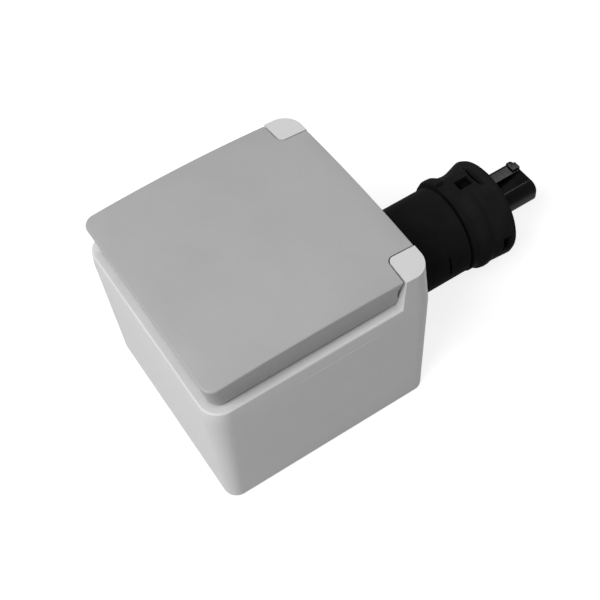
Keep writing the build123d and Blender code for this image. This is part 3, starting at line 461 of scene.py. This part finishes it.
lidSkin = copyNode("lid")
for vertex in lidSkin.data.vertices:
    vertex.co = reshapeLidEdge(vertex.co)
finishPiece(lidSkin, "edged_lid", "mouldedAsaMidGrey", "cap", "lid",
            lidLook["smoothDegrees"])

# Cover screws with broken edges on their heads and slots
screwLook = {"edge": 0.00014, "edgeDegrees": 50}
coverScrewSkin = copyNode("cover_screws")
softenEdges(coverScrewSkin, screwLook["edge"], screwLook["edgeDegrees"])
finishPiece(coverScrewSkin, "slotted_cover_screws", "zincPlatedSteel", "box", "cover_screws")

# Closing spring of round wire
springLook = {"faceDegrees": 40, "shapeDegrees": 60, "levels": 1, "smoothDegrees": 60}
springSkin = copyNode("lid_spring")
bpy.ops.object.mode_set(mode="EDIT")
bpy.ops.mesh.select_all(action="SELECT")
bpy.ops.mesh.tris_convert_to_quads(face_threshold=math.radians(springLook["faceDegrees"]),
                                   shape_threshold=math.radians(springLook["shapeDegrees"]))
bpy.ops.object.mode_set(mode="OBJECT")
roundWire = springSkin.modifiers.new("roundWire", "SUBSURF")
roundWire.levels = springLook["levels"]
roundWire.render_levels = springLook["levels"]
bpy.ops.object.modifier_apply(modifier="roundWire")
finishPiece(springSkin, "wound_spring", "drawnSpringSteel", "box", "lid_spring",
            springLook["smoothDegrees"])

# Rubber gasket in the connector's mouth: a beaded ring and a thin skirt that lines the mouth; the skirt is a dark
# sheet put where there is only shade, and both take the near-black painted shade rubber
gasketLook = {"axis": (0, 0.0173), "corners": 144, "beadStart": 0.07945, "beadEnd": 0.08085,
              "beadOuter": 0.01484, "beadInner": 0.01346, "beadRound": 0.0003,
              "skirtRadius": 0.01484, "skirtWall": 0.0002, "skirtEnd": 0.0879, "ribAngles": (-37.5, -18.0)}
gasketCentre = (gasketLook["axis"][0], gasketLook["beadStart"], gasketLook["axis"][1])
outer, inner, fillet = (gasketLook[key] for key in ("beadOuter", "beadInner", "beadRound"))
y0, y1 = gasketLook["beadStart"], gasketLook["beadEnd"]
bead = [(y0, outer - fillet), (y0 + fillet, outer), (y1 - fillet, outer), (y1, outer - fillet),
        (y1, inner + 2 * fillet), (y1 - fillet, inner + fillet / 2), ((y0 + y1) / 2, inner),
        (y0 + fillet, inner + fillet / 2), (y0, inner + 2 * fillet), (y0, outer - fillet)]
gasketRing = startRing(bead[0][1], gasketCentre, gasketLook["corners"])
turnProfile(bead, gasketCentre)
bpy.ops.mesh.select_all(action="SELECT")
bpy.ops.mesh.remove_doubles(threshold=craft["seam"])
bpy.ops.mesh.normals_make_consistent(inside=False)
bpy.ops.object.mode_set(mode="OBJECT")
skirtCentre = (gasketLook["axis"][0], y1 - fillet, gasketLook["axis"][1])
# the skirt: a thin dark sheet standing in for the shade inside the mouth
shadeSkirt = startRing(gasketLook["skirtRadius"], skirtCentre, gasketLook["corners"])
skirtProfile = [(y1 - fillet, gasketLook["skirtRadius"]), (gasketLook["skirtEnd"], gasketLook["skirtRadius"])]
turnProfile(skirtProfile, gasketCentre)
bpy.ops.mesh.select_all(action="DESELECT")
bpy.ops.object.mode_set(mode="OBJECT")
low, high = gasketLook["ribAngles"]
for face in shadeSkirt.data.polygons:
    # the coding rib of the mouth passes here
    angle = math.degrees(math.atan2(face.center.x, face.center.z - gasketLook["axis"][1]))
    face.select = low < angle < high
bpy.ops.object.mode_set(mode="EDIT")
bpy.ops.mesh.select_mode(type="FACE")
bpy.ops.mesh.delete(type="FACE")
bpy.ops.mesh.select_mode(type="VERT")
bpy.ops.object.mode_set(mode="OBJECT")
wall = shadeSkirt.modifiers.new("wall", "SOLIDIFY")
wall.thickness = gasketLook["skirtWall"]
wall.offset = 0
bpy.ops.object.modifier_apply(modifier="wall")
bpy.ops.object.select_all(action="DESELECT")
gasketRing.select_set(True)
shadeSkirt.select_set(True)
bpy.context.view_layer.objects.active = gasketRing
bpy.ops.object.join()
# both parts get the near-black rubber that paints the mouth's shade
finishPiece(gasketRing, "mouth_gasket_painted_shade", "paintedShadeRubber", "box", "mating_seal")

# Keyed nose of the contact insert: a key slot whose floor ramps up to the tip, and a stop block
# on the flat strip beside it
noseLook = {"fillLow": (-0.0016, 0.0939, 0.0209), "fillHigh": (0.0031, 0.1011, 0.0237),
            "slotLow": (-0.00175, 0.0900, 0.0208), "slotHigh": (0.0037, 0.1010, 0.0250), "slotRise": 0.0014,
            "rampEnd": 0.1056, "rampRise": 0.00105,
            "blockLow": (-0.0064, 0.10235, 0.0232), "blockHigh": (-0.0019, 0.1052, 0.0244),
            "blockSlope": 0.0008, "blockCorner": 0.0013, "blockBevel": 0.00025, "bevelSteps": 2,
            "tipReach": 0.001, "smoothDegrees": 22}
nose = copyNode("contact_insert")
combine(nose, addBlock(noseLook["fillLow"], noseLook["fillHigh"]), "UNION")
slotTool = addBlock(noseLook["slotLow"], noseLook["slotHigh"])
slotEnd = noseLook["slotHigh"][1]
slotFoot = noseLook["slotLow"][2] + craft["near"]
pickVertices(slotTool, lambda place: place.y > slotEnd - craft["near"] and place.z < slotFoot)
bpy.ops.transform.translate(value=(0, 0, noseLook["slotRise"]))
combine(nose, slotTool, "DIFFERENCE")
rampFoot = noseLook["slotLow"][2] + noseLook["slotRise"]
rampTool = addBlock((noseLook["slotLow"][0], slotEnd - craft["near"], rampFoot),
                    (noseLook["slotHigh"][0], noseLook["rampEnd"], noseLook["slotHigh"][2]))
rampTip = noseLook["rampEnd"] - noseLook["tipReach"]
pickVertices(rampTool, lambda place: place.y > rampTip and place.z < rampFoot + craft["near"])
bpy.ops.transform.translate(value=(0, 0, noseLook["rampRise"]))
combine(nose, rampTool, "DIFFERENCE")
stopBlock = addBlock(noseLook["blockLow"], noseLook["blockHigh"])
blockEnds = [value - craft["near"] for value in noseLook["blockHigh"]]
blockSide = noseLook["blockLow"][0] + craft["near"]
pickVertices(stopBlock, lambda place: place.z > blockEnds[2] and place.x > blockEnds[0])
bpy.ops.transform.translate(value=(-noseLook["blockSlope"], 0, 0))
pickVertices(stopBlock, lambda place: place.x < blockSide and place.y > blockEnds[1])
bpy.ops.mesh.bevel(offset=noseLook["blockCorner"], segments=noseLook["bevelSteps"], affect="EDGES")
bpy.ops.mesh.select_all(action="SELECT")
bpy.ops.mesh.bevel(offset=noseLook["blockBevel"], segments=noseLook["bevelSteps"], affect="EDGES")
combine(nose, stopBlock, "UNION")
finishPiece(nose, "keyed_nose", "mouldedNylonSatin", "box", "contact_insert",
            noseLook["smoothDegrees"])


# Floor, world and lamps

floorLook = {"half": 6.0, "height": -0.0006, "glow": 0.83, "nearReach": 0.3, "farReach": 1.0,
             "paint": "A6A6A6", "bounce": "A2A2A2", "white": "FFFFFF",
             "cloudScale": 3.0, "cloudDetail": 2.0, "glossRange": (0.85, 0.95)}
bpy.ops.object.select_all(action="DESELECT")
bpy.ops.mesh.primitive_plane_add(size=2 * floorLook["half"], location=(0, 0, floorLook["height"]))
floor = bpy.context.object
floor.name = "studio_floor"
bpy.ops.object.transform_apply(location=True, rotation=True, scale=True)
floorMaterial, floorTree = startMaterial("paintedStudioFloor")
# seen white by the camera and in reflections, with part of the object's shadow kept
floorSeen = addSeenMask(floorTree)
floorPlace = addNode(floorTree, "ShaderNodeTexCoord")
floorCloud = addNode(floorTree, "ShaderNodeTexNoise",
                     inputs={"Scale": floorLook["cloudScale"], "Detail": floorLook["cloudDetail"]},
                     links={"Vector": floorPlace.outputs["Object"]})
glossLow, glossHigh = floorLook["glossRange"]
floorGloss = addNode(floorTree, "ShaderNodeMapRange", inputs={"To Min": glossLow, "To Max": glossHigh},
                     links={"Value": floorCloud.outputs["Fac"]})
floorPaint = addNode(floorTree, "ShaderNodeBsdfDiffuse", inputs={"Color": hexToLinear(floorLook["paint"])},
                     links={"Roughness": floorGloss.outputs["Result"]})
floorBounce = addNode(floorTree, "ShaderNodeBsdfDiffuse", inputs={"Color": hexToLinear(floorLook["bounce"])},
                      links={"Roughness": floorGloss.outputs["Result"]})
floorReach = addNode(floorTree, "ShaderNodeVectorMath", {"operation": "LENGTH"},
                     links={0: floorPlace.outputs["Object"]})
# the lamps no longer reach the far floor, so its own white rises there
floorGlow = addNode(floorTree, "ShaderNodeMapRange", {"interpolation_type": "SMOOTHSTEP"},
                    inputs={"From Min": floorLook["nearReach"], "From Max": floorLook["farReach"],
                            "To Min": floorLook["glow"], "To Max": 1.0},
                    links={"Value": floorReach.outputs["Value"]})
floorWhite = addNode(floorTree, "ShaderNodeEmission", inputs={"Color": hexToLinear(floorLook["white"])},
                     links={"Strength": floorGlow.outputs["Result"]})
floorPale = addNode(floorTree, "ShaderNodeAddShader",
                    links={0: floorWhite.outputs["Emission"], 1: floorPaint.outputs["BSDF"]})
floorMix = addNode(floorTree, "ShaderNodeMixShader",
                   links={0: floorSeen, 1: floorBounce.outputs["BSDF"], 2: floorPale.outputs["Shader"]})
addNode(floorTree, "ShaderNodeOutputMaterial", links={"Surface": floorMix.outputs["Shader"]})
floor.data.materials.append(floorMaterial)

# soft pale light from all around, and plain white where the world itself is seen
worldLook = {"ambient": 0.22, "backdrop": 1.0, "tone": "FFFFFF"}
world = bpy.data.worlds.new("studioWorld")
bpy.context.scene.world = world
world.use_nodes = True
worldTree = world.node_tree
worldTree.nodes.clear()
skySeen = addSeenMask(worldTree)
softSky = addNode(worldTree, "ShaderNodeBackground",
                  inputs={"Color": hexToLinear(worldLook["tone"]), "Strength": worldLook["ambient"]})
whiteSky = addNode(worldTree, "ShaderNodeBackground",
                   inputs={"Color": hexToLinear(worldLook["tone"]), "Strength": worldLook["backdrop"]})
skyMix = addNode(worldTree, "ShaderNodeMixShader",
                 links={0: skySeen, 1: softSky.outputs["Background"], 2: whiteSky.outputs["Background"]})
addNode(worldTree, "ShaderNodeOutputWorld", links={"Surface": skyMix.outputs["Shader"]})

lamps = {
    # broad soft box over the front of the object
    "frontBox": {"place": (0.21, -0.82, 1.02), "size": (0.8, 0.8), "power": 14.4},
    # small box over the far side, mirrored by the flat tops of the connector
    "farBox": {"place": (-0.534, 0.599, 0.843), "size": (0.12, 0.12), "power": 1.4},
}
aim = Vector((0, 0.01, 0.04))
for lampName, look in lamps.items():
    bpy.ops.object.light_add(type="AREA", location=look["place"])
    lamp = bpy.context.object
    lamp.name = lampName
    lamp.data.shape = "RECTANGLE"
    lamp.data.size, lamp.data.size_y = look["size"]
    lamp.data.energy = look["power"]
    lamp.rotation_euler = (aim - lamp.location).to_track_quat("-Z", "Y").to_euler()
print("lit with", len(lamps), "lamps")

# Camera, as fitted to the photograph's outlines: angles in degrees, lengths in metres
cameraLook = {"azimuth": 61.99, "elevation": 54.37, "roll": -6.12, "distance": 0.401329,
              "target": (-0.014625, 0.021493, 0.0), "lensMm": 69.757, "sensorMm": 36.0, "nearClip": 0.01}
azimuth, elevation, roll = (math.radians(cameraLook[key]) for key in ("azimuth", "elevation", "roll"))
back = Vector((math.sin(azimuth) * math.cos(elevation), -math.cos(azimuth) * math.cos(elevation),
               math.sin(elevation)))
level = Vector((math.cos(azimuth), math.sin(azimuth), 0))
upright = back.cross(level)
right = level * math.cos(roll) + upright * math.sin(roll)
up = upright * math.cos(roll) - level * math.sin(roll)
bpy.ops.object.camera_add()
camera = bpy.context.object
camera.name = "photoCamera"
camera.data.lens = cameraLook["lensMm"]
camera.data.sensor_width = cameraLook["sensorMm"]
camera.data.clip_start = cameraLook["nearClip"]
turned = Matrix((right, up, back)).transposed().to_4x4()
camera.matrix_world = Matrix.Translation(Vector(cameraLook["target"]) + back * cameraLook["distance"]) @ turned
bpy.context.scene.camera = camera
bpy.context.scene.view_settings.view_transform = "Standard"
